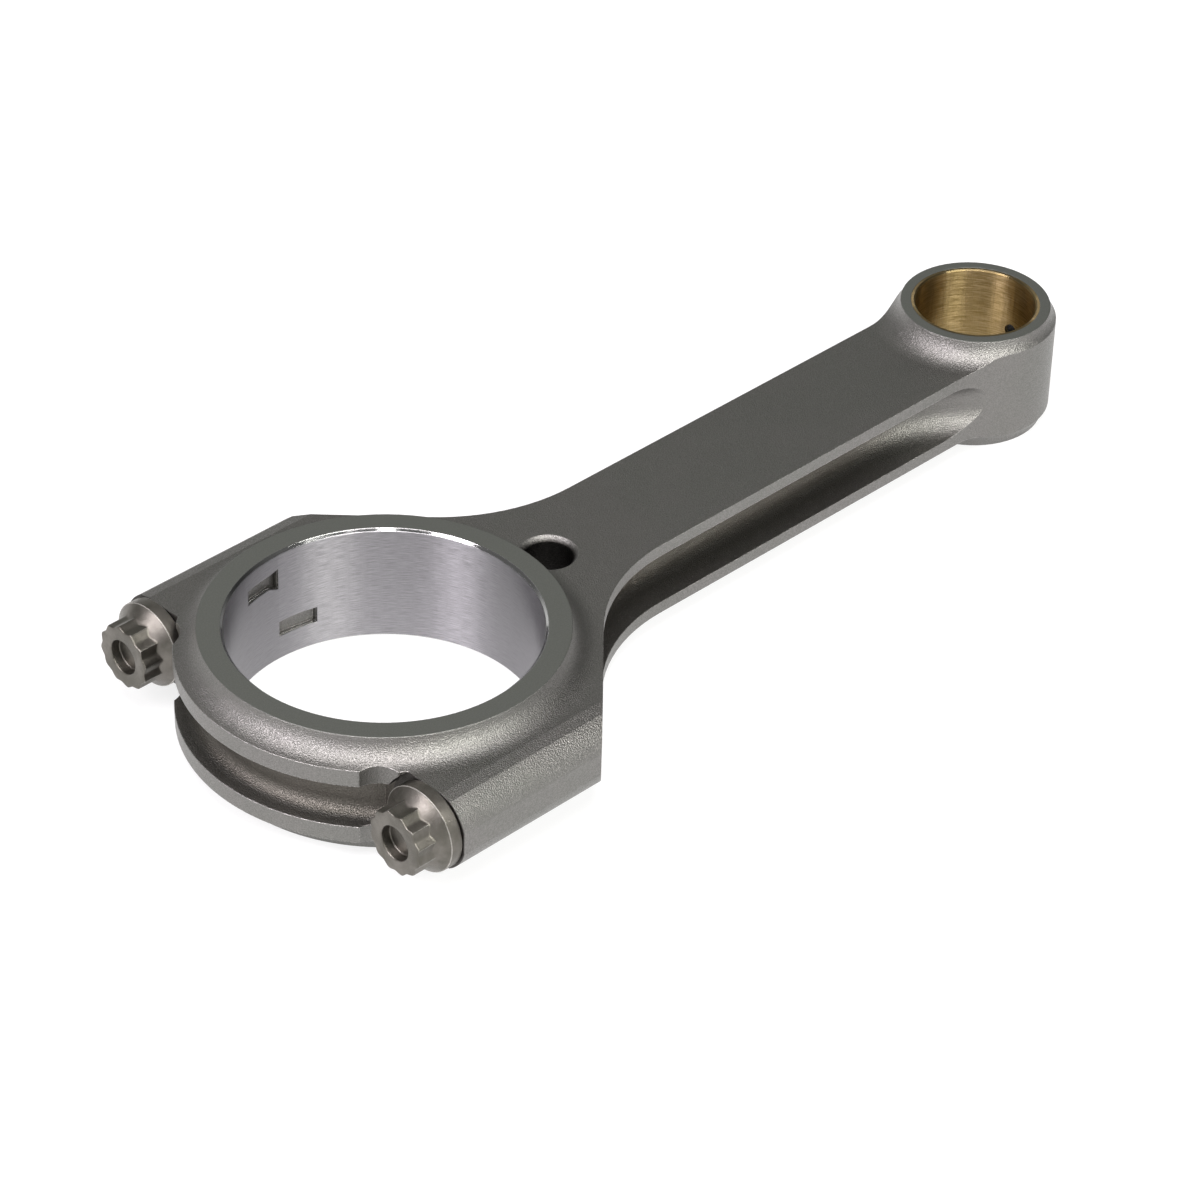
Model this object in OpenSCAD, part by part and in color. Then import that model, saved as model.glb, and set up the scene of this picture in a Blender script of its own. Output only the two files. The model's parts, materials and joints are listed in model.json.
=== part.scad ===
// Forged steel connecting rod with a bolted cap.
// Millimetres. The origin is the centre of the big-end bore, halfway through its width.
// +X runs along the beam to the small end, +Z along both bores, and the cap parts on the plane X = 0.

/* [Big end] */
// Diameter of the big-end bore, where the bearing shells sit
big_bore_d = 56.52; // [55:0.01:57.5]
// Width across the two thrust faces
big_width = 23.88; // [23:0.02:25]
// Outer diameter of each thrust face
thrust_face_d = 66; // [65:0.5:67]
// Radius of the cove turned round the thrust face
big_cove_r = 5; // [4.6:0.1:5.4]
// Chamfer on both edges of the big-end bore
bore_chamfer = 0.55; // [0.4:0.05:0.9]
// Thickness of the forging away from the two ends
forging_thickness = 15.4; // [15:0.1:16]

/* [Shoulders] */
// Distance between the two cap bolt axes
bolt_spacing = 71.2; // [70.6:0.1:72]
// Radius of the shoulder round each bolt axis
shoulder_r = 8.6; // [8.4:0.1:9]
// Distance from a bolt axis to the ground flat on the shoulder's side
shoulder_flat = 8.3; // [8:0.1:8.3]
// How far the rod's sloping shoulder faces reach: X plus Y on those faces
shoulder_reach = 54.4; // [54:0.1:56]
// Radius of the sweep from a shoulder into the beam
shoulder_sweep_r = 36; // [34:0.5:38]

/* [Beam] */
// Width of the beam's flat faces
beam_width = 24.5; // [23.5:0.1:26]
// Height of the channel milled in each side of the beam
channel_height = 10.6; // [9.6:0.1:11.2]
// Thickness of the web left between the two channels
web_thickness = 5.5; // [5:0.1:7]
// Radius in the bottom corners of the channels
channel_corner_r = 4.7; // [2.5:0.1:4.7]
// Radius of the channel's run-out next to the big end
big_runout_r = 30.7; // [30:0.1:31]
// Radius of the channel's run-out next to the small end
small_runout_r = 49; // [46:0.5:50]
// Diameter of the hole through the root of the beam
root_hole_d = 9.2; // [7:0.2:9.4]
// Chamfer on both mouths of the root hole
root_chamfer = 0.9; // [0.3:0.1:1]
// Distance of the root hole from the big-end centre
root_hole_x = 40; // [39.6:0.1:41]

/* [Small end] */
// Distance between the centres of the two bores
centre_distance = 155.575; // [152:0.005:160]
// Diameter of the piston pin bore, inside the bush
pin_bore_d = 23.55; // [23:0.01:24]
// Outer diameter of the bush
bush_d = 25.1; // [24.8:0.1:25.5]
// Outer diameter of the eye
eye_d = 31.8; // [31.2:0.1:33]
// Outer diameter of the eye's flat faces
eye_face_d = 29.2; // [28.6:0.1:29.6]
// Radius of the cove turned round the eye
small_cove_r = 5.2; // [4.8:0.1:5.6]
// Radius of the sweep from the beam's side into the eye
neck_sweep_r = 28; // [24:0.5:32]
// Diameter of the oil hole in the tip of the eye
oil_hole_d = 3; // [2:0.1:4]

/* [Cap] */
// Distance from the parting face to the bolt seats
seat_depth = 22; // [21:0.1:23]
// Outer radius of the cap's two ribs
rib_r = 37.2; // [36.6:0.1:38.4]
// Width of the groove between the ribs
groove_width = 8.8; // [7.6:0.1:9.6]
// Radius of the groove's floor from the big-end centre
groove_floor_r = 32.8; // [32.4:0.1:33.6]
// Radius in the bottom corners of the groove
groove_corner_r = 2.6; // [2:0.1:3.2]
// Radius of the round pocket in which each bolt head sits
pocket_r = 9.4; // [9:0.1:9.8]
// Depth of that pocket below the relief milled beside the bolt heads
pocket_depth = 1.25; // [0.8:0.05:1.5]
// Half width of the relief, from the bolt's axis in towards the bore
relief_half = 11.25; // [11:0.05:12]
// Radius of the upright cutter that mills the relief through both ribs
relief_r = 5.45; // [4:0.05:5.5]

/* [Bolts] */
// Outer diameter of the bolt's thread
thread_d = 11.11; // [11.05:0.01:11.15]
// Distance from one thread crest to the next
thread_pitch = 1.27; // [1:0.01:1.5]
// Length of the bolt under its head
bolt_length = 34.93; // [33:0.01:35.2]
// Diameter of the bolt's flange
flange_d = 16.3; // [15.5:0.1:17]
// Thickness of the flange at its rim
flange_thickness = 2.4; // [1.8:0.1:2.6]
// Height of the whole head
head_height = 8.3; // [7.5:0.1:9]
// Size across the flats of the twelve-point head
head_flats = 11.11; // [10.8:0.01:11.4]
// Diameter of the recess in the end of the head
recess_d = 6.6; // [4:0.2:7]
// Depth of the recess in the end of the head
recess_depth = 2; // [1:0.1:2.4]
// Angle at which the left bolt's points stop
left_head_angle = 21.5; // [0:0.5:30]
// Angle at which the right bolt's points stop
right_head_angle = 13.8; // [0:0.1:30]

/* [Dowel sleeves] */
// Outer diameter of a dowel sleeve
sleeve_d = 12.7; // [12.6:0.05:12.9]
// Inner diameter of a dowel sleeve
sleeve_bore_d = 11.3; // [11.25:0.01:11.3]
// Length of a dowel sleeve
sleeve_length = 8; // [6:0.5:9]

/* [Bearing notches] */
// Length of a notch along the rod
notch_length = 8.1; // [7:0.1:8.6]
// Width of a notch along the bore
notch_width = 3; // [2.6:0.1:3.4]
// Distance of a notch's floor from the rod's centre line at the parting face
notch_reach = 29.7; // [29.4:0.1:30]

/* [Hidden] */
$fn = 96;
half_width = big_width / 2;
half_forging = forging_thickness / 2;
half_beam = beam_width / 2;
half_web = web_thickness / 2;
half_channel = channel_height / 2;
half_groove = groove_width / 2;
big_bore_r = big_bore_d / 2;
bolt_y = bolt_spacing / 2;
side_y = bolt_y + shoulder_flat;
// Where the shoulder's rounding meets its drafted top
crease_y = bolt_y + 4.75;
crease_z = sqrt(pow(shoulder_r, 2) - pow(crease_y - bolt_y, 2));
draft_y = thrust_face_d / 2 + big_cove_r;
// The shoulder sweep, tangent to the sloping face and to the beam's side
sweep_y = half_beam + shoulder_sweep_r;
sweep_x = shoulder_reach + shoulder_sweep_r * sqrt(2) - sweep_y;
tangent_x = sweep_x - shoulder_sweep_r / sqrt(2);
tangent_y = sweep_y - shoulder_sweep_r / sqrt(2);
// The channel's run-outs
channel_start_x = sweep_x;
channel_end_x = centre_distance - 40.6;
big_runout_y = half_web + big_runout_r;
small_runout_y = half_web + small_runout_r;
// The sweep from the beam into the eye
eye_r = eye_d / 2;
neck_sweep_y = half_beam + neck_sweep_r;
neck_x = centre_distance - sqrt(pow(eye_r + neck_sweep_r, 2) - pow(neck_sweep_y, 2));
neck_tangent_x = centre_distance - (centre_distance - neck_x) * eye_r / (eye_r + neck_sweep_r);
neck_tangent_y = neck_sweep_y * eye_r / (eye_r + neck_sweep_r);
// Cap bolts
thread_r = thread_d / 2;
thread_depth = 0.6 * thread_pitch;
thread_start = seat_depth + 1;
thread_turns = floor((bolt_length - thread_start - 1.2) / thread_pitch);
rod_hole_r = thread_r + 0.045;
cap_hole_r = sleeve_bore_d / 2;
shank_r = thread_r - 0.7;
pilot_r = thread_r - 0.03;
point_r = head_flats / 2 / cos(30);
valley_r = head_flats / 2 / cos(15);
cone_r = valley_r - 0.4;
cone_end = flange_thickness + flange_d / 2 - cone_r;
sleeve_r = sleeve_d / 2;
half_sleeve = sleeve_length / 2;

// Lays a solid drawn along Z down along X
module along_x() {
    rotate([90, 0, 90])
        children();
}

// Repeats a shape on both sides of the rod's centre line
module both_sides() {
    for (side = [0, 1]) {
        mirror([0, side, 0])
            children();
    }
}

// Radial profile of an end: a flat face, then a cove down to the forging
module turned_profile(face_r, cove_r) {
    cove_z = half_forging + cove_r;
    cove_x = face_r + sqrt(pow(cove_r, 2) - pow(half_width - cove_z, 2));
    translate([0, -half_width])
        square([face_r, big_width]);
    both_sides() {
        difference() {
            square([cove_x, half_width]);
            translate([cove_x, cove_z])
                circle(cove_r);
        }
    }
}

module big_end_turning() {
    rotate_extrude()
        turned_profile(thrust_face_d / 2, big_cove_r);
}

module small_end_turning() {
    translate([centre_distance, 0, 0])
        rotate_extrude()
            turned_profile(eye_face_d / 2, small_cove_r);
}

// Section across the forging: flat in the middle, drafted and rounded over the shoulders
module forging_section() {
    slope = (half_forging - crease_z) / (crease_y - draft_y);
    side_z = half_forging - slope * (side_y - draft_y);
    difference() {
        polygon([
            [-side_y, -side_z],
            [-draft_y, -half_forging],
            [draft_y, -half_forging],
            [side_y, -side_z],
            [side_y, side_z],
            [draft_y, half_forging],
            [-draft_y, half_forging],
            [-side_y, side_z],
        ]);
        rotate(90)
            both_sides() {
                difference() {
                    translate([-10, draft_y])
                        square([20, 12]);
                    translate([0, bolt_y])
                        circle(shoulder_r);
                }
            }
    }
}

// The forging's section drawn out along X
module forging_bar(start_x, end_x) {
    translate([start_x, 0, 0])
        along_x()
            linear_extrude(end_x - start_x)
                forging_section();
}

// Outline of the rod from above
module rod_plan() {
    difference() {
        polygon([
            [0, -side_y],
            [shoulder_reach - side_y, -side_y],
            [tangent_x, -tangent_y],
            [sweep_x, -tangent_y],
            [sweep_x, tangent_y],
            [tangent_x, tangent_y],
            [shoulder_reach - side_y, side_y],
            [0, side_y],
        ]);
        both_sides()
            translate([sweep_x, sweep_y])
                circle(shoulder_sweep_r);
    }
    translate([sweep_x - 12, -half_beam])
        square([neck_x - sweep_x + 14, beam_width]);
    difference() {
        translate([neck_x, -neck_tangent_y])
            square([neck_tangent_x - neck_x, 2 * neck_tangent_y]);
        both_sides()
            translate([neck_x, neck_sweep_y])
                circle(neck_sweep_r);
    }
    translate([centre_distance, 0])
        circle(eye_r);
}

// Profile of a milling wheel with rounded rim corners
module wheel_profile(wheel_r) {
    square([wheel_r, channel_height - 2 * channel_corner_r]);
    translate([0, -channel_corner_r])
        square([wheel_r - channel_corner_r, channel_height]);
    translate([wheel_r - channel_corner_r, 0])
        circle(channel_corner_r);
    translate([wheel_r - channel_corner_r, channel_height - 2 * channel_corner_r])
        circle(channel_corner_r);
}

// A milling wheel lying flat, centred on the forging's mid-plane
module milling_wheel(wheel_r) {
    translate([0, 0, channel_corner_r - half_channel])
        rotate_extrude()
            wheel_profile(wheel_r);
}

// One side channel: a straight run and a wheel-cut run-out at each end
module side_channel() {
    run = channel_end_x - channel_start_x;
    intersection() {
        translate([channel_start_x, big_runout_y, 0])
            milling_wheel(big_runout_r);
        translate([channel_start_x - 60, -10, -20])
            cube([60.01, 100, 40]);
    }
    translate([channel_start_x, half_web, 0])
        along_x()
            linear_extrude(run)
                channel_section();
    intersection() {
        translate([channel_end_x, small_runout_y, 0])
            milling_wheel(small_runout_r);
        translate([channel_end_x - 0.01, -10, -20])
            cube([60, 120, 40]);
    }
}

module channel_section() {
    inner = half_channel - channel_corner_r;
    translate([channel_corner_r, -half_channel])
        square([20, channel_height]);
    translate([0, -inner])
        square([20, 2 * inner]);
    for (z = [-inner, inner]) {
        translate([channel_corner_r, z])
            circle(channel_corner_r);
    }
}

// A plain bore along Z with a chamfer at both mouths
module chamfered_bore(bore_r, half_length, chamfer) {
    cylinder(h = 2 * half_length + 2, r = bore_r, center = true);
    for (side = [0, 1]) {
        mirror([0, 0, side])
            translate([0, 0, half_length - chamfer])
                cylinder(h = chamfer + 1, r1 = bore_r, r2 = bore_r + chamfer + 1);
    }
}

// A round hole along X
module cross_hole(start_x, end_x, hole_r) {
    translate([start_x, 0, 0])
        along_x()
            cylinder(h = end_x - start_x, r = hole_r);
}

// Plan of a notch that lets a bearing shell's tang in
module notch_plan() {
    polygon([
        [-0.5, big_bore_r - 6],
        [notch_length, big_bore_r - 6],
        [notch_length, notch_reach - 1.4],
        [-0.5, notch_reach + 0.08],
    ]);
}

module rod_notch() {
    translate([0, 0, -6.6])
        linear_extrude(notch_width + 0.3)
            notch_plan();
}

// The cap's notch widens towards the parting face
module cap_notch() {
    mirror([1, 0, 0]) {
        translate([0, 0, 5])
            linear_extrude(notch_width)
                notch_plan();
        intersection() {
            translate([0, 0, 3.9])
                linear_extrude(notch_width + 1.7)
                    notch_plan();
            translate([0, notch_reach + 2, 0])
                rotate([90, 0, 0])
                    linear_extrude(10)
                        polygon([
                            [-1, 3.95],
                            [0, 3.95],
                            [2.2, 5.05],
                            [2.2, 4.95 + notch_width],
                            [0, 5.5 + notch_width],
                            [-1, 5.5 + notch_width],
                        ]);
        }
    }
}

module rod_body() {
    color([0.50, 0.50, 0.48])
        difference() {
            intersection() {
                translate([0, 0, -half_width])
                    linear_extrude(big_width)
                        rod_plan();
                union() {
                    forging_bar(0, centre_distance + eye_r + 1);
                    big_end_turning();
                    small_end_turning();
                }
            }
            chamfered_bore(big_bore_r, half_width, bore_chamfer);
            translate([centre_distance, 0, 0])
                cylinder(h = big_width + 2, r = bush_d / 2, center = true);
            translate([root_hole_x, 0, 0])
                chamfered_bore(root_hole_d / 2, half_forging, root_chamfer);
            both_sides()
                side_channel();
            both_sides()
                translate([0, bolt_y, 0]) {
                    cross_hole(-1, shoulder_reach - bolt_y + 12, rod_hole_r);
                    cross_hole(-1, half_sleeve, sleeve_r);
                }
            translate([centre_distance, 0, 0]) {
                cross_hole(bush_d / 2 - 1, eye_r + 1, oil_hole_d / 2);
                translate([eye_r - 1, 0, 0])
                    along_x()
                        cylinder(h = 2, r1 = oil_hole_d / 2, r2 = oil_hole_d / 2 + 2);
            }
            rod_notch();
        }
}

// Outline of the cap from above
module cap_plan() {
    intersection() {
        circle(rib_r);
        translate([-rib_r - 1, -rib_r - 1])
            square([rib_r + 1, 2 * rib_r + 2]);
    }
    translate([-seat_depth, -side_y])
        square([seat_depth, 2 * side_y]);
}

// The groove that leaves two ribs round the back of the cap
module cap_groove() {
    inner = half_groove - groove_corner_r;
    intersection() {
        rotate_extrude() {
            translate([groove_floor_r + groove_corner_r, -half_groove])
                square([12, groove_width]);
            translate([groove_floor_r, -inner])
                square([12, 2 * inner]);
            for (z = [-inner, inner]) {
                translate([groove_floor_r + groove_corner_r, z])
                    circle(groove_corner_r);
            }
        }
        translate([-60, -60, -20])
            cube([60 - seat_depth, 120, 40]);
    }
}

// The room for a bolt head: a round pocket, and a relief milled down through both ribs
module bolt_pocket() {
    relief_x = -seat_depth - pocket_depth;
    corner_y = relief_r - relief_half;
    cross_hole(relief_x - relief_r, -seat_depth, pocket_r);
    translate([relief_x, 0, -half_width - 1])
        linear_extrude(big_width + 2) {
            translate([-30, corner_y])
                square([30, 30]);
            translate([-30, -relief_half])
                square([30 - relief_r, 30]);
            translate([-relief_r, corner_y])
                circle(relief_r);
        }
}

module rod_cap() {
    color([0.52, 0.51, 0.50])
        difference() {
            intersection() {
                translate([0, 0, -half_width])
                    linear_extrude(big_width)
                        cap_plan();
                union() {
                    forging_bar(-rib_r - 1, 0);
                    big_end_turning();
                }
            }
            chamfered_bore(big_bore_r, half_width, bore_chamfer);
            cap_groove();
            both_sides()
                translate([0, bolt_y, 0]) {
                    bolt_pocket();
                    cross_hole(-seat_depth - 1, 1, cap_hole_r);
                    cross_hole(-half_sleeve - 0.3, 1, sleeve_r + 0.05);
                }
            cap_notch();
        }
}

// The bush pressed into the small end
module pin_bush() {
    color([0.62, 0.47, 0.22])
        translate([centre_distance, 0, 0])
            difference() {
                cylinder(h = big_width, r = bush_d / 2, center = true);
                chamfered_bore(pin_bore_d / 2, half_width, 0.25);
                cross_hole(pin_bore_d / 2 - 2, bush_d / 2 + 1, oil_hole_d / 2);
            }
}

// A hollow dowel across the parting face
module dowel_sleeve() {
    outer = sleeve_r;
    inner = sleeve_bore_d / 2;
    color([0.60, 0.60, 0.62])
        along_x()
            rotate_extrude()
                polygon([
                    [inner, -half_sleeve],
                    [outer - 0.3, -half_sleeve],
                    [outer, -half_sleeve + 0.3],
                    [outer, half_sleeve - 0.3],
                    [outer - 0.3, half_sleeve],
                    [inner, half_sleeve],
                ]);
}

module dowel_sleeve_left() {
    translate([0, bolt_y, 0])
        dowel_sleeve();
}

module dowel_sleeve_right() {
    translate([0, -bolt_y, 0])
        dowel_sleeve();
}

// Radial profile of the bolt under its head, with a groove for every turn of thread
function shank_profile() = concat(
    [
        [0, -1],
        [pilot_r, -1],
        [pilot_r, 5],
        [shank_r, 6],
        [shank_r, thread_start - 1],
        [thread_r, thread_start - 0.3],
        [thread_r, thread_start],
    ],
    [
        for (turn = [0 : thread_turns - 1], step = [0 : 2])
            [
                step == 1 ? thread_r - thread_depth : thread_r,
                thread_start + thread_pitch * (turn + [0.06, 0.5, 0.94][step])
            ]
    ],
    [
        [thread_r, bolt_length - 0.9],
        [thread_r - 0.9, bolt_length],
        [0, bolt_length],
    ]
);

// Radial profile that trims the twelve points at the end of the head
function head_profile() = [
    [0, -head_height],
    [valley_r + 0.1, -head_height],
    [point_r + 0.1, 0.75 - head_height],
    [point_r + 0.1, -flange_thickness],
    [0, -flange_thickness],
];

// A flanged twelve-point bolt along Z, its seat at Z = 0 and its head below
module cap_bolt() {
    difference() {
        union() {
            rotate_extrude()
                polygon(shank_profile());
            rotate_extrude()
                polygon([
                    [0, 0],
                    [flange_d / 2 - 0.25, 0],
                    [flange_d / 2, -0.25],
                    [flange_d / 2, -flange_thickness],
                    [cone_r, -cone_end],
                    [0, -cone_end],
                ]);
            intersection() {
                for (turn = [0, 30]) {
                    rotate(turn)
                        translate([0, 0, -head_height - 1])
                            cylinder(h = head_height, r = point_r, $fn = 6);
                }
                rotate_extrude()
                    polygon(head_profile());
            }
        }
        translate([0, 0, -head_height - 1])
            cylinder(h = recess_depth + 1, r = recess_d / 2);
        translate([0, 0, -head_height - 0.3])
            cylinder(h = 0.6, r1 = recess_d / 2 + 0.6, r2 = recess_d / 2);
    }
}

module placed_bolt(side, head_angle) {
    color([0.40, 0.37, 0.35])
        translate([-seat_depth, side * bolt_y, 0])
            along_x()
                rotate(head_angle)
                    cap_bolt();
}

module cap_bolt_left() {
    placed_bolt(1, left_head_angle);
}

module cap_bolt_right() {
    placed_bolt(-1, right_head_angle);
}

rod_body();
rod_cap();
pin_bush();
dowel_sleeve_left();
dowel_sleeve_right();
cap_bolt_left();
cap_bolt_right();
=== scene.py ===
import math

import bpy
import numpy as np
from mathutils import Matrix, Vector
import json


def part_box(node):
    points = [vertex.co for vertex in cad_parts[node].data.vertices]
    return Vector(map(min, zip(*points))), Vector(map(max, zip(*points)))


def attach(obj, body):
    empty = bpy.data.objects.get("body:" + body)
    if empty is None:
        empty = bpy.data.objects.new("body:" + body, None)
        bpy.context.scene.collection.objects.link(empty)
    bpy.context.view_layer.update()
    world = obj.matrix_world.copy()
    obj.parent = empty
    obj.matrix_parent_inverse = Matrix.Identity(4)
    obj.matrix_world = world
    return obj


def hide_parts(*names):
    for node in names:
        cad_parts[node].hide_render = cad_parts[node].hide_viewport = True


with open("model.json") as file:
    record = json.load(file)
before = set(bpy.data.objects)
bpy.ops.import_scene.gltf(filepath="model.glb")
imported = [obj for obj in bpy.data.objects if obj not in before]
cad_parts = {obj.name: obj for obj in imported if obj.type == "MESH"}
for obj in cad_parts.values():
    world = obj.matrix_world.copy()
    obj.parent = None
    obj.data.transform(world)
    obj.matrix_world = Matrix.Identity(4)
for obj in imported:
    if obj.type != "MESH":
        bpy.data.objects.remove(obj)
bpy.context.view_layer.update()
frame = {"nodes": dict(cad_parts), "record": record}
nodes = frame["nodes"]
MM = 0.001

# ---------------------------------------------------------------- measures
# They come from the frame where it states them, and otherwise repeat the CAD's own.
mounts = {m["name"]: m for m in frame["record"]["mounts"]}
BIG_R = mounts["big_end_bore"]["dims"]["r_mm"] * MM
PIN_R = mounts["pin_bore"]["dims"]["r_mm"] * MM
PIN_X = mounts["pin_bore"]["pos_m"][0]
HALF_W = mounts["thrust_face_upper"]["pos_m"][2]
ROOT_X, ROOT_R = 40.0 * MM, 4.6 * MM  # the hole through the beam's root
OIL_R = 1.5 * MM  # the hole through the eye's end
RIB_R, GROOVE_HALF = 37.2 * MM, 4.4 * MM  # the cap's ribs, and half the height of the groove between
CHANNEL_HALF, CHANNEL_X = 5.3 * MM, 26.5 * MM  # half a channel's height, and where the channels begin
HEAD_H = 8.3 * MM  # a bolt's head with its flange
BOLT_Y = sum(corner.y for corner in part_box("cap_bolt_left")) / 2
SEAT_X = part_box("cap_bolt_left")[0].x + HEAD_H
POCKET_R = 9.4 * MM  # the round pocket at a bolt's seat
TAP_R = 5.6 * MM  # the tapped hole beyond it


# ---------------------------------------------------------------- material building blocks
BEVEL_SAMPLES = 6
MID = (0.3, 0.7)  # the range that most of a noise texture lies in


class Nodes:
    """Builds a node tree from expressions."""

    def __init__(self, name):
        self.mat = bpy.data.materials.new(name)
        self.mat.use_nodes = True
        self.tree = self.mat.node_tree
        self.tree.nodes.clear()
        self.out = self.tree.nodes.new("ShaderNodeOutputMaterial")
        self.bsdf = self.tree.nodes.new("ShaderNodeBsdfPrincipled")
        self.tree.links.new(self.bsdf.outputs[0], self.out.inputs[0])
        coords = self.tree.nodes.new("ShaderNodeTexCoord")
        self.pos = coords.outputs["Object"]
        geometry = self.tree.nodes.new("ShaderNodeNewGeometry")
        self.normal = geometry.outputs["Normal"]

    def put(self, socket, value):
        """Links an output to a socket, or sets the socket to a plain value."""
        if hasattr(value, "is_linked"):
            self.tree.links.new(value, socket)
        elif value is not None:
            socket.default_value = value

    def math(self, op, a, b=None):
        n = self.tree.nodes.new("ShaderNodeMath")
        n.operation = op
        for socket, value in zip(n.inputs, (a, b)):
            self.put(socket, value)
        return n.outputs[0]

    def times(self, first, *others):
        for other in others:
            first = self.math("MULTIPLY", first, other)
        return first

    def plus(self, first, *others):
        for other in others:
            first = self.math("ADD", first, other)
        return first

    def vmath(self, op, a, b=None):
        n = self.tree.nodes.new("ShaderNodeVectorMath")
        n.operation = op
        self.put(n.inputs[0], a)
        self.put(n.inputs[1], b)
        return n.outputs["Value"] if op in ("LENGTH", "DOT_PRODUCT") else n.outputs[0]

    def split(self, vector):
        """The three parts of a vector."""
        n = self.tree.nodes.new("ShaderNodeSeparateXYZ")
        self.put(n.inputs[0], vector)
        return n.outputs[0], n.outputs[1], n.outputs[2]

    def join(self, x, y, z):
        n = self.tree.nodes.new("ShaderNodeCombineXYZ")
        for socket, value in zip(n.inputs, (x, y, z)):
            self.put(socket, value)
        return n.outputs[0]

    def ramp(self, value, low, high, to_low=0.0, to_high=1.0):
        """A smooth step from to_low, where value is low, to to_high."""
        n = self.tree.nodes.new("ShaderNodeMapRange")
        n.interpolation_type = "SMOOTHSTEP"
        for socket, v in zip(n.inputs, (value, low, high, to_low, to_high)):
            self.put(socket, v)
        return n.outputs[0]

    def noise(self, vector, scale, detail=3.0, rough=0.55):
        n = self.tree.nodes.new("ShaderNodeTexNoise")
        self.put(n.inputs["Vector"], vector)
        n.inputs["Scale"].default_value = scale
        n.inputs["Detail"].default_value = detail
        n.inputs["Roughness"].default_value = rough
        return n.outputs[0]

    def streaks(self, u, v, u_scale, v_scale, detail=3.0, rough=0.55):
        """Noise drawn out over a surface: the scales are its features per metre along u and v."""
        at = self.join(self.times(u, u_scale), self.times(v, v_scale), 0.0)
        return self.noise(at, 1.0, detail, rough)

    def mix(self, factor, a, b):
        """A number between a and b."""
        n = self.tree.nodes.new("ShaderNodeMix")
        n.data_type = "FLOAT"
        for i, v in ((0, factor), (2, a), (3, b)):
            self.put(n.inputs[i], v)
        return n.outputs[0]

    def colour(self, factor, a, b):
        """A colour between a and b."""
        n = self.tree.nodes.new("ShaderNodeMix")
        n.data_type = "RGBA"
        self.put(n.inputs[0], factor)
        for socket, v in ((n.inputs[6], a), (n.inputs[7], b)):
            self.put(socket, (*v, 1) if isinstance(v, tuple) else v)
        return n.outputs[2]

    def bump(self, height, strength, distance, normal=None):
        """The normal, bent by the slope of height."""
        n = self.tree.nodes.new("ShaderNodeBump")
        n.inputs["Strength"].default_value = strength
        n.inputs["Distance"].default_value = distance
        self.put(n.inputs["Height"], height)
        self.put(n.inputs["Normal"], normal)
        return n.outputs[0]

    def bevel(self, radius):
        """The normal with every edge rounded."""
        n = self.tree.nodes.new("ShaderNodeBevel")
        n.samples = BEVEL_SAMPLES
        n.inputs["Radius"].default_value = radius
        return n.outputs[0]

    def blend_normals(self, factor, a, b):
        """A normal between a and b."""
        n = self.tree.nodes.new("ShaderNodeMix")
        n.data_type = "VECTOR"
        self.put(n.inputs[0], factor)
        self.put(n.inputs[4], a)
        self.put(n.inputs[5], b)
        return self.vmath("NORMALIZE", n.outputs[1])

    def draw_out(self, amount):
        """Draws reflections out along Z, as fine marks round a bore do."""
        self.put(self.bsdf.inputs["Anisotropic"], amount)
        self.put(self.bsdf.inputs["Tangent"], self.join(0.0, 0.0, 1.0))

    def finish(self, colour, rough, normal=None, metallic=1.0):
        """Sets what every material has, and returns the material."""
        self.put(self.bsdf.inputs["Base Color"], colour)
        self.put(self.bsdf.inputs["Roughness"], rough)
        self.put(self.bsdf.inputs["Normal"], normal)
        self.bsdf.inputs["Metallic"].default_value = metallic
        return self.mat


def wrap_coords(n, x, y, z, around=1.0):
    """Distance round the Z axis, radius and height, all in metres at the bore's wall."""
    angle = n.math("ARCTAN2", y, x)
    radius = n.math("SQRT", n.plus(n.times(x, x), n.times(y, y)))
    return n.times(angle, around), radius, z


def edge_wear(n, soft, low=0.02, high=0.14):
    """1 along sharp outer edges, where the rounded normal leaves the true one."""
    return n.ramp(n.math("SUBTRACT", 1.0, n.vmath("DOT_PRODUCT", soft, n.normal)), low, high)


# Colours are linear RGB. A pair, of colours or of roughnesses, follows a texture from low to high.
PEENED = ((0.165, 0.162, 0.153), (0.255, 0.248, 0.237))
BLOTCHED, BLOTCH_SHARE = ((0.193, 0.194, 0.181), (0.214, 0.206, 0.199)), 0.45
TURNED = ((0.230, 0.236, 0.220), (0.258, 0.263, 0.247))
HONED = ((0.235, 0.23, 0.24), (0.39, 0.382, 0.40))
BORE_CHAMFER = (0.50, 0.50, 0.50)
STEEL_EDGE, STEEL_EDGE_R = (0.50, 0.48, 0.47), 0.3 * MM
# painted shade: a darker tint multiplied into the channels and the cap's groove, where shade falls
HOLLOW_SHADE_TINT = (0.60, 0.57, 0.53)
# painted shade: near-black inside the root and oil holes and over the root hole's chamfer
HOLE_SHADE = (0.035, 0.033, 0.031)
# painted shade inside the bolts' tapped holes
TAP_SHADE = (0.06, 0.057, 0.054)
# painted shade in the round pockets at the bolt seats, under the bolt heads
POCKET_SHADE = (0.07, 0.066, 0.062)
PEENED_ROUGH, TURNED_ROUGH, HONED_ROUGH, CHAMFER_ROUGH = (0.46, 0.33), 0.42, (0.30, 0.52), 0.09
# Noise scales are in features per metre; the second figure is the height that a noise adds.
GRAIN, GRAIN_HEIGHT = 4200.0, 1.35
FINE, FINE_HEIGHT = 7000.0, 0.4
COARSE, COARSE_HEIGHT = 900.0, 0.35
BLOTCHES = 60.0
HONE_AROUND, HONE_ALONG, HONE_SLANT, HONE_HEIGHT = 330.0, 8500.0, 0.05, 0.12
FLUTE_AROUND, FLUTE_ALONG, FLUTE_HEIGHT = 450.0, 40.0, 0.5
TURNED_RELIEF = 0.12
STEEL_BUMP = (0.8, 0.11 * MM)
BORE_DRAW = 0.92


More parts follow.
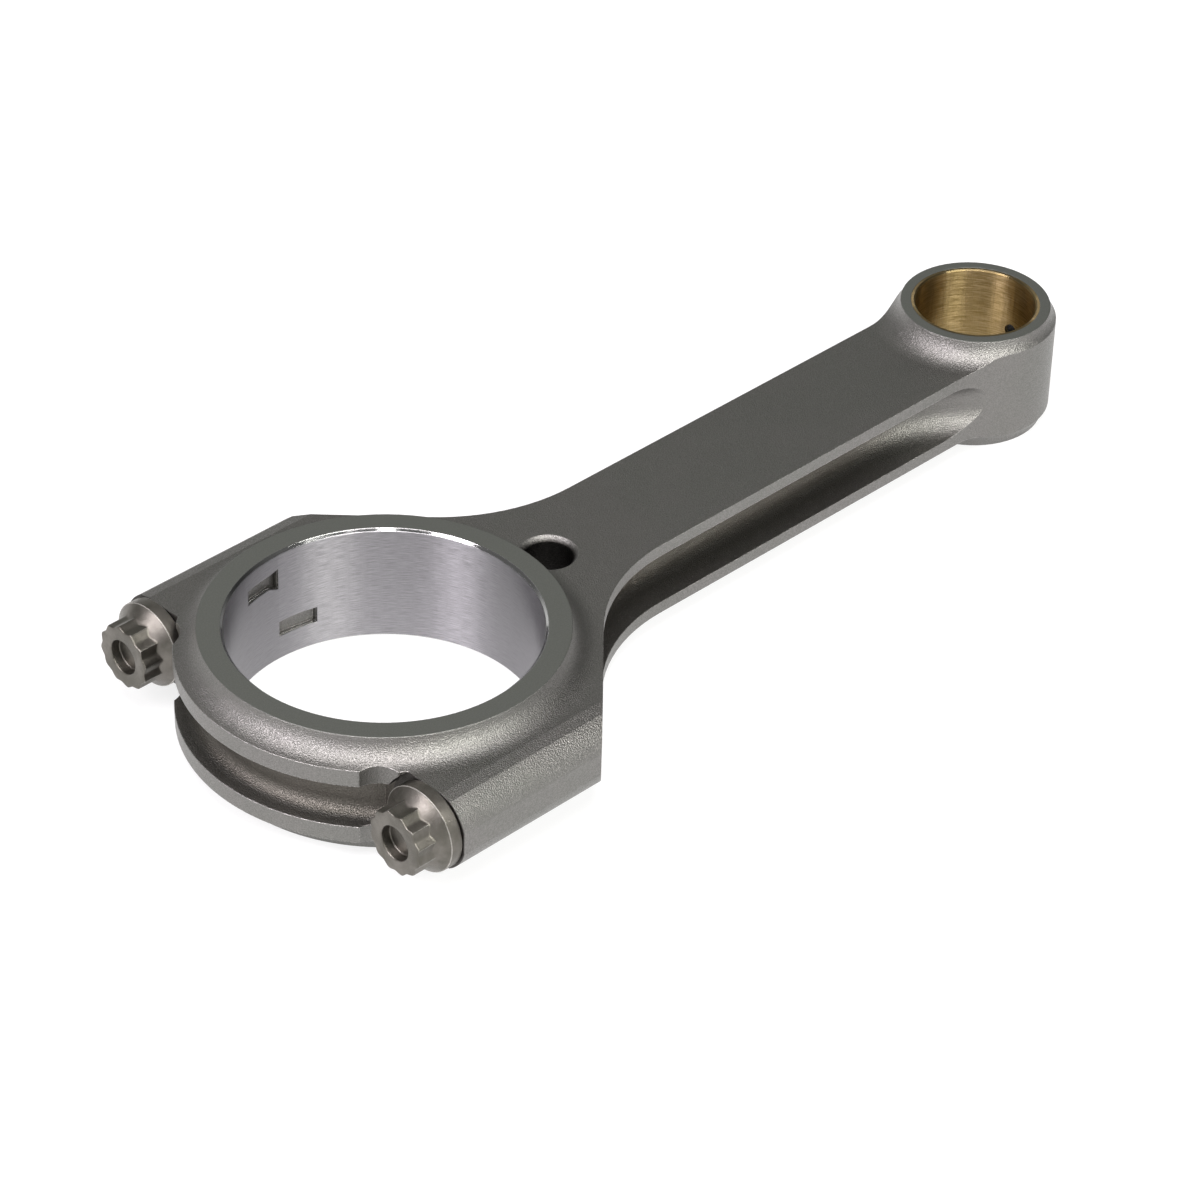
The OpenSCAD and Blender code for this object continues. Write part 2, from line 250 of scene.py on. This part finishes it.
def steel_places(n, x, y, z, r_big):
    """Masks that tell the finishes of rod and cap apart by where a point lies, and that place painted
    shade in the holes, tapped holes, bolt pockets, channels and groove.
    """
    at = {}
    height = n.math("ABSOLUTE", z)
    at["bore"] = n.ramp(r_big, BIG_R + 0.10 * MM, BIG_R + 0.03 * MM)
    at["bore and chamfer"] = n.ramp(r_big, BIG_R + 0.58 * MM, BIG_R + 0.54 * MM)
    at["chamfer"] = n.math("SUBTRACT", at["bore and chamfer"], at["bore"])
    at["face"] = n.ramp(height, HALF_W - 0.06 * MM, HALF_W - 0.02 * MM)
    root_r = n.vmath("LENGTH", n.join(n.math("SUBTRACT", x, ROOT_X), y, 0.0))
    # the root hole and its chamfer, and the oil hole, take painted shade
    in_root = n.ramp(root_r, ROOT_R + 0.75 * MM, ROOT_R)
    oil_r = n.vmath("LENGTH", n.join(0.0, y, z))
    in_oil = n.times(n.ramp(oil_r, OIL_R + 0.15 * MM, OIL_R), n.ramp(x, PIN_X, PIN_X + PIN_R))
    at["hole"] = n.math("MAXIMUM", in_root, in_oil)
    at["off joint"] = n.ramp(n.math("ABSOLUTE", x), 0.30 * MM, 0.55 * MM)
    bolt_y = n.math("SUBTRACT", n.math("ABSOLUTE", y), abs(BOLT_Y))
    bolt_r = n.vmath("LENGTH", n.join(0.0, bolt_y, z))
    # the tapped holes and the seat pockets take painted shade
    at["tap"] = n.ramp(bolt_r, TAP_R + 0.12 * MM, TAP_R + 0.05 * MM)
    at["pocket"] = n.times(
        n.ramp(bolt_r, POCKET_R + 0.12 * MM, POCKET_R + 0.05 * MM),
        n.ramp(x, SEAT_X + 0.2 * MM, SEAT_X + 0.05 * MM),
    )
    # the cap's groove and the beam's channels, which take the painted shade tint
    in_groove = n.times(
        n.ramp(r_big, RIB_R, RIB_R - 0.6 * MM),
        n.ramp(x, 0.0, -2 * MM),
        n.ramp(r_big, BIG_R + 2 * MM, BIG_R + 3 * MM),
        n.ramp(height, GROOVE_HALF + 0.2 * MM, GROOVE_HALF - 0.4 * MM),
    )
    in_channel = n.times(
        n.ramp(height, CHANNEL_HALF + 0.2 * MM, CHANNEL_HALF - 0.6 * MM),
        n.ramp(x, CHANNEL_X, CHANNEL_X + 3 * MM),
        n.ramp(x, PIN_X - 14 * MM, PIN_X - 45 * MM),
    )
    at["hollow"] = n.math("MAXIMUM", in_groove, in_channel)
    return at


def steel():
    """Shot-peened forging with turned thrust faces and a honed bore, with painted shade in its channels,
    groove, holes and bolt pockets.
    """
    n = Nodes("forged_steel")
    x, y, z = n.split(n.pos)
    around, r_big, along = wrap_coords(n, x, y, z, BIG_R)
    at = steel_places(n, x, y, z, r_big)
    grain = n.noise(n.pos, GRAIN, 1.0, 0.6)
    fine = n.noise(n.pos, FINE, 1.0, 0.6)
    coarse = n.noise(n.pos, COARSE, 2.0, 0.6)
    blotches = n.noise(n.pos, BLOTCHES, 3.0, 0.55)
    # hone marks run nearly round the bore, and shallow flutes run down it
    slant = n.plus(along, n.times(around, HONE_SLANT))
    marks = n.streaks(around, slant, HONE_AROUND, HONE_ALONG, 3.0, 0.7)
    flutes = n.streaks(around, along, FLUTE_AROUND, FLUTE_ALONG)

    soft = n.blend_normals(at["off joint"], n.normal, n.bevel(STEEL_EDGE_R))
    worn = n.times(edge_wear(n, soft), n.ramp(grain, 0.4, 0.6))
    peened = n.colour(n.ramp(grain, *MID), *PEENED)
    blotched = n.colour(n.ramp(blotches, 0.35, 0.65), *BLOTCHED)
    wall = n.colour(at["chamfer"], n.colour(n.ramp(marks, *MID), *HONED), BORE_CHAMFER)
    colour = n.colour(worn, n.colour(BLOTCH_SHARE, peened, blotched), STEEL_EDGE)
    # painted shade in the channels and the groove
    colour = n.colour(at["hollow"], colour, n.vmath("MULTIPLY", colour, HOLLOW_SHADE_TINT))
    colour = n.colour(at["face"], colour, n.colour(n.ramp(grain, *MID), *TURNED))
    colour = n.colour(at["bore and chamfer"], colour, wall)
    # painted shade in the root and oil holes and on the root hole's chamfer
    colour = n.colour(at["hole"], colour, HOLE_SHADE)
    # painted shade in the tapped holes
    colour = n.colour(at["tap"], colour, TAP_SHADE)
    # painted shade in the bolt pockets
    colour = n.colour(at["pocket"], colour, POCKET_SHADE)

    rough = n.mix(at["face"], n.ramp(grain, *MID, *PEENED_ROUGH), TURNED_ROUGH)
    rough = n.mix(at["bore"], rough, n.ramp(marks, *MID, *HONED_ROUGH))
    rough = n.mix(at["chamfer"], rough, CHAMFER_ROUGH)

    dimples = n.plus(
        n.times(fine, FINE_HEIGHT), n.times(grain, GRAIN_HEIGHT), n.times(coarse, COARSE_HEIGHT)
    )
    relief = n.mix(at["face"], n.mix(at["bore and chamfer"], 1.0, 0.0), TURNED_RELIEF)
    hone = n.times(n.plus(n.times(marks, HONE_HEIGHT), n.times(flutes, FLUTE_HEIGHT)), at["bore"])
    normal = n.bump(n.plus(n.times(dimples, relief), hone), *STEEL_BUMP, soft)
    n.draw_out(n.times(at["bore"], BORE_DRAW))
    return n.finish(colour, rough, normal)


BRONZE = (0.25, 0.178, 0.066)
BRONZE_LIGHT = ((0.39, 0.292, 0.144), (0.47, 0.355, 0.20))
BUSH_RIM = (0.23, 0.175, 0.09)
BRONZE_ROUGH = (0.30, 0.46)
BUSH_DRAW = 0.95


def bronze():
    """Fine-bored bronze: ripples run round the bore, and bright bands run down it."""
    n = Nodes("bush_bronze")
    x, y, z = n.split(n.pos)
    around, radius, along = wrap_coords(n, n.math("SUBTRACT", x, PIN_X), y, z, PIN_R)
    marks = n.streaks(around, along, 220.0, 3400.0, 4.0, 0.7)
    flutes = n.streaks(around, along, 900.0, 60.0, 2.0, 0.6)
    broad = n.noise(n.pos, 120.0, 3.0, 0.55)
    light = n.colour(n.ramp(broad, *MID), *BRONZE_LIGHT)
    colour = n.colour(n.ramp(marks, *MID), BRONZE, light)
    rim = n.ramp(radius, PIN_R + 0.03 * MM, PIN_R + 0.08 * MM)
    colour = n.colour(rim, colour, BUSH_RIM)
    rough = n.ramp(marks, *MID, *BRONZE_ROUGH)
    normal = n.bump(n.plus(flutes, n.times(marks, 0.12)), 1.0, 0.05 * MM)
    n.draw_out(BUSH_DRAW)
    return n.finish(colour, rough, normal)


BOLT = ((0.115, 0.109, 0.094), (0.185, 0.173, 0.156))
BOLT_EDGE, BOLT_EDGE_R = (0.60, 0.58, 0.55), 0.18 * MM
BOLT_ROUGH = (0.33, 0.45)


def bolt_steel():
    """Dark oiled alloy steel with a forged grain, rubbed bright along its edges."""
    n = Nodes("bolt_steel")
    grain = n.noise(n.pos, 5200.0, 2.0, 0.6)
    broad = n.noise(n.pos, 250.0, 3.0, 0.55)
    soft = n.bevel(BOLT_EDGE_R)
    worn = n.times(edge_wear(n, soft, 0.008, 0.08), n.ramp(broad, 0.15, 0.5))
    colour = n.colour(worn, n.colour(n.ramp(broad, *MID), *BOLT), BOLT_EDGE)
    rough = n.ramp(grain, *MID, *BOLT_ROUGH)
    height = n.plus(grain, n.times(broad, 0.5))
    return n.finish(colour, rough, n.bump(height, 0.8, 0.055 * MM, soft))


SLEEVE = ((0.17, 0.168, 0.165), (0.25, 0.247, 0.243))
SLEEVE_ROUGH = (0.36, 0.46)


def sleeve_steel():
    """Hardened sleeve ground to a dull grey: fine rings run round it."""
    n = Nodes("sleeve_steel")
    x, y, z = n.split(n.pos)
    rings_at = n.join(n.times(x, 9000.0), n.times(y, 60.0), z)
    rings = n.noise(rings_at, 1.0, 2.0, 0.6)
    colour = n.colour(n.ramp(rings, *MID), *SLEEVE)
    rough = n.ramp(rings, *MID, *SLEEVE_ROUGH)
    return n.finish(colour, rough, n.bump(rings, 0.3, 0.02 * MM))


finishes = {
    "forged_steel": steel(),
    "bush_bronze": bronze(),
    "bolt_steel": bolt_steel(),
    "sleeve_steel": sleeve_steel(),
}
for part in frame["record"]["subparts"]:
    obj = nodes[part["node"]]
    obj.data.materials.clear()
    obj.data.materials.append(finishes[part["material_slot"]])


# ---------------------------------------------------------------- cap bolts
# A bolt is made along its own Z: 0 is its seat, the head is below 0 and the shank above it.
HEAD_AF = 11.11 * MM  # across the flats of the twelve-point head
POINT_R = HEAD_AF / 2 / math.cos(math.pi / 6)  # a hexagon's corner
NOTCH_R = HEAD_AF / 2 / math.cos(math.pi / 12)  # the notch between two points
BEVEL_SLOPE = 1.9  # how steeply the points' tops fall away
FLANGE_R, FLANGE_H = 8.15 * MM, 2.4 * MM
RECESS_R, RECESS_D = 3.3 * MM, 2.0 * MM
RECESS_FLOOR_RINGS = (0.8 * MM, 2.4 * MM)
CONE_RINGS = 46
THREAD_R, THREAD_PITCH, THREAD_DEPTH = 5.555 * MM, 1.27 * MM, 0.76 * MM
THREAD_START, THREAD_RUN_IN = 23.0 * MM, 1.2 * MM
THREAD_FLANK, THREAD_CREST = 2.6, 0.2  # how fast a groove deepens across a pitch, less the flat crest
THREAD_STEPS = 10  # rings in one pitch
RUN_IN_SLOPE = 0.8  # how fast the thread rises out of the shank
TIP_BEVEL = 0.9 * MM
PILOT_R, PILOT_END = THREAD_R - 0.03 * MM, 5 * MM
SHANK_R, SHANK_START = THREAD_R - 0.7 * MM, 6 * MM
HEAD_TURN = {"cap_bolt_left": 21.5, "cap_bolt_right": 13.8}  # degrees, so the points lie as photographed
SHARP_ANGLE = math.radians(25)
AROUND = 192  # points in a ring
turn = np.arange(AROUND) * 2 * math.pi / AROUND


def soft_max(a, b, round_by):
    """The larger of two, with their meeting filleted."""
    return 0.5 * (a + b + np.sqrt((a - b) ** 2 + round_by ** 2))


def soft_min(a, b, round_by):
    """The smaller of two, with their meeting rounded."""
    return -soft_max(-a, -b, round_by)


def twelve_point():
    """Radius of the twelve-point outline at every angle: two hexagons, their corners just eased."""
    def hexagon(offset):
        sector = np.mod(turn - offset, math.pi / 3) - math.pi / 6
        return HEAD_AF / 2 / np.cos(sector)

    star = soft_max(hexagon(0.0), hexagon(math.pi / 6), 0.1 * MM) - 0.03 * MM
    return soft_min(star, POINT_R - 0.08 * MM, 0.1 * MM)


def quarter(steps=5):
    """Pairs of sine and cosine round a quarter turn."""
    for k in range(steps + 1):
        a = math.pi / 2 * k / steps
        yield math.sin(a), math.cos(a)


def head_rings():
    """Rings (z, radii) from the middle of the recess, over the head and flange, to the seat."""
    one = np.ones(AROUND)
    floor_z, top = RECESS_D - HEAD_H, -HEAD_H
    lip, corner, edge, rim = 0.3 * MM, 0.25 * MM, 0.2 * MM, 0.14 * MM
    for r in RECESS_FLOOR_RINGS:
        yield floor_z, r * one
    for s, c in quarter():
        yield floor_z - corner * (1 - c), (RECESS_R - corner * (1 - s)) * one
    for s, c in quarter():
        yield top + lip * (1 - s), (RECESS_R + lip * (1 - c)) * one
    star = twelve_point()
    crown = NOTCH_R + 0.3 * MM
    cone_foot = -FLANGE_H - (FLANGE_R - HEAD_AF / 2)

    def outline(z):
        bevelled = crown + (z - top) * BEVEL_SLOPE
        flare = HEAD_AF / 2 + z - cone_foot
        return soft_max(soft_min(star, bevelled, 0.08 * MM), flare, 0.12 * MM)

    yield top, outline(top) - edge * 3
    for s, c in quarter():
        z = top + edge * (1 - c)
        yield z, outline(z) - edge * (1 - s)
    for z in np.linspace(top + edge * 1.5, -FLANGE_H - rim, CONE_RINGS):
        yield z, np.minimum(outline(z), FLANGE_R - rim * 0.3)
    for s, c in quarter(3):
        yield -FLANGE_H - rim * (c - 1) - rim, (FLANGE_R - rim * 0.3 * (1 - s)) * one
    yield -0.25 * MM, FLANGE_R * one
    yield 0.0, (FLANGE_R - 0.25 * MM) * one


def shank_rings(length):
    """Rings from the seat down the shank and the helical thread to the tip."""
    one = np.ones(AROUND)
    yield 0.0, (PILOT_R + 0.01 * MM) * one
    for z, r in ((0.05 * MM, PILOT_R), (PILOT_END, PILOT_R), (SHANK_START, SHANK_R)):
        yield z, r * one
    run_in = THREAD_START - THREAD_RUN_IN
    yield run_in, SHANK_R * one
    step = THREAD_PITCH / THREAD_STEPS
    tip = length - TIP_BEVEL
    for z in np.arange(run_in + step, length - 0.05 * MM, step):
        phase = np.mod(z / THREAD_PITCH - turn / (2 * math.pi), 1.0)
        groove = (0.5 - np.abs(phase - 0.5)) * THREAD_FLANK - THREAD_CREST
        cut = np.clip(groove, 0.0, 1.0) * THREAD_DEPTH
        outer = min(THREAD_R, SHANK_R + (z - run_in) * RUN_IN_SLOPE, THREAD_R - (z - tip))
        yield z, np.minimum(THREAD_R - cut, outer)
    yield length, (THREAD_R - TIP_BEVEL) * one


def lathe(name, rings, first, last):
    """A closed mesh from rings round the local Z axis, each end closed by a fan to its point."""
    count = len(rings)
    z = np.array([ring[0] for ring in rings])[:, None] * np.ones(AROUND)
    r = np.array([ring[1] for ring in rings])
    verts = np.stack([r * np.cos(turn), r * np.sin(turn), z], axis=2).reshape(-1, 3)
    verts = verts.tolist() + [(0, 0, first), (0, 0, last)]
    faces = []
    for i in range(count - 1):
        for j in range(AROUND):
            k = (j + 1) % AROUND
            low, high = i * AROUND, (i + 1) * AROUND
            faces.append((low + j, low + k, high + k, high + j))
    base = (count - 1) * AROUND
    for j in range(AROUND):
        k = (j + 1) % AROUND
        faces.append((j, count * AROUND, k))
        faces.append((base + j, base + k, count * AROUND + 1))
    mesh = bpy.data.meshes.new(name)
    mesh.from_pydata(verts, [], faces)
    mesh.shade_smooth()
    mesh.set_sharp_from_angle(angle=SHARP_ANGLE)
    return mesh


def add_bolt(node, body):
    """A detailed cap bolt in the place of its CAD node."""
    low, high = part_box(node)
    middle_y = (low.y + high.y) / 2
    length = high.x - SEAT_X
    rings = [*head_rings(), *shank_rings(length)]
    mesh = lathe(node + "_detailed", rings, RECESS_D - HEAD_H, length)
    # local Z runs along the rod's X
    stand = Matrix(((0, 0, 1), (1, 0, 0), (0, 1, 0))).to_4x4()
    spin = Matrix.Rotation(math.radians(HEAD_TURN[node]), 4, "Z")
    mesh.transform(Matrix.Translation((SEAT_X, middle_y, 0.0)) @ stand @ spin)
    mesh.materials.append(finishes["bolt_steel"])
    bolt = bpy.data.objects.new(node + "_detailed", mesh)
    bpy.context.scene.collection.objects.link(bolt)
    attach(bolt, body)
    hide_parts(node)


add_bolt("cap_bolt_left", "bolt_left")
add_bolt("cap_bolt_right", "bolt_right")


# ---------------------------------------------------------------- camera
AZIMUTH, ELEVATION, ROLL = 44.445, 36.005, -1.7286  # degrees: which way it looks, down, and tilt
FOCAL_PX, FRAME_PX = 4560.38, 1200  # focal length in pixels of the square frame
SENSOR_MM = 36.0
EYE_POINT = Vector((-432.615, -476.960, 485.280)) * MM


def add_camera():
    """The camera at the photograph's viewing angle."""
    az, el, roll = (math.radians(v) for v in (AZIMUTH, ELEVATION, ROLL))
    forward = Vector((math.cos(az) * math.cos(el), math.sin(az) * math.cos(el), -math.sin(el)))
    level = Vector((math.sin(az), -math.cos(az), 0.0))
    down = forward.cross(level)
    right = math.cos(roll) * level + math.sin(roll) * down
    below = -math.sin(roll) * level + math.cos(roll) * down
    pose = Matrix((right, -below, -forward)).transposed()
    data = bpy.data.cameras.new("camera")
    data.sensor_width = SENSOR_MM
    data.lens = FOCAL_PX / FRAME_PX * SENSOR_MM
    data.clip_start, data.clip_end = 0.01, 20.0
    cam = bpy.data.objects.new("camera", data)
    cam.matrix_world = Matrix.Translation(EYE_POINT) @ pose.to_4x4()
    bpy.context.scene.collection.objects.link(cam)
    bpy.context.scene.camera = cam


add_camera()


# ---------------------------------------------------------------- floor and light
FLOOR_SIZE, FLOOR_GAP = 4.0, 0.02 * MM
FLOOR_GREY, FLOOR_GLOW = (0.25, 0.25, 0.25, 1), 0.78
LIGHTS_AIM = Vector((0.06, 0, 0))


def add_floor():
    """A plain pale floor that glows a little, so that it stays nearly white."""
    mesh = bpy.data.meshes.new("floor")
    size, z = FLOOR_SIZE, -HALF_W - FLOOR_GAP
    corners = [(-size, -size, z), (size, -size, z), (size, size, z), (-size, size, z)]
    mesh.from_pydata(corners, [], [(0, 1, 2, 3)])
    floor = bpy.data.objects.new("floor", mesh)
    bpy.context.scene.collection.objects.link(floor)
    n = Nodes("floor")
    n.finish(FLOOR_GREY, 0.9, metallic=0.0)
    n.bsdf.inputs["Emission Color"].default_value = (1, 1, 1, 1)
    n.bsdf.inputs["Emission Strength"].default_value = FLOOR_GLOW
    floor.data.materials.append(n.mat)


def add_light(name, azimuth, elevation, distance, size, power, tint=(1, 1, 1)):
    """A soft box of light that faces the rod; angles in degrees, distance and size in metres."""
    data = bpy.data.lights.new(name, "AREA")
    data.shape = "RECTANGLE"
    data.size, data.size_y = size
    data.energy = power
    data.color = tint
    lamp = bpy.data.objects.new(name, data)
    az, el = math.radians(azimuth), math.radians(elevation)
    away = Vector((math.cos(az) * math.cos(el), math.sin(az) * math.cos(el), math.sin(el)))
    lamp.location = LIGHTS_AIM + away * distance
    lamp.rotation_euler = away.to_track_quat("Z", "Y").to_euler()
    bpy.context.scene.collection.objects.link(lamp)


# A ramp is low, high, brightness at low and brightness at high.
HORIZON = (0.05, 0.35, 0.9, 0.16)  # by height
FLAG = (0.4, 0.9, 1.0, 0.3)  # by how nearly a direction points at the flag
FLAG_AZIMUTH = math.radians(5)
SKY = (1.0, 1.0, 0.98, 1)


def add_world():
    """A dark studio above a pale horizon, with a dark flag on one side."""
    world = bpy.data.worlds.new("studio")
    world.use_nodes = True
    tree = world.node_tree
    link = tree.links.new

    def smooth(value, limits):
        ramp = tree.nodes.new("ShaderNodeMapRange")
        ramp.interpolation_type = "SMOOTHSTEP"
        for socket, limit in zip(list(ramp.inputs)[1:5], limits):
            socket.default_value = limit
        link(value, ramp.inputs[0])
        return ramp.outputs[0]

    direction = tree.nodes.new("ShaderNodeTexCoord").outputs["Generated"]
    split = tree.nodes.new("ShaderNodeSeparateXYZ")
    link(direction, split.inputs[0])
    flag = tree.nodes.new("ShaderNodeVectorMath")
    flag.operation = "DOT_PRODUCT"
    flag.inputs[1].default_value = (math.cos(FLAG_AZIMUTH), math.sin(FLAG_AZIMUTH), 0.0)
    link(direction, flag.inputs[0])
    both = tree.nodes.new("ShaderNodeMath")
    both.operation = "MULTIPLY"
    link(smooth(split.outputs[2], HORIZON), both.inputs[0])
    link(smooth(flag.outputs["Value"], FLAG), both.inputs[1])
    background = tree.nodes["Background"]
    background.inputs[0].default_value = SKY
    link(both.outputs[0], background.inputs[1])
    bpy.context.scene.world = world


add_floor()
add_light("left", 172, 38, 1.3, (0.46, 0.6), 13.5, (1.0, 0.95, 1.0))
add_light("right", 267, 38, 1.3, (0.64, 0.5), 14.0, (1.0, 1.0, 0.95))
add_light("fill", 222, 72, 1.3, (0.9, 0.6), 13.2, (1.0, 0.96, 0.975))
add_light("spark", 222, 54, 1.3, (0.14, 0.2), 1.2)
add_light("back", 48, 38, 1.4, (1.6, 1.2), 1.7, (0.97, 1.0, 0.93))
add_world()
bpy.context.scene.view_settings.view_transform = "Standard"
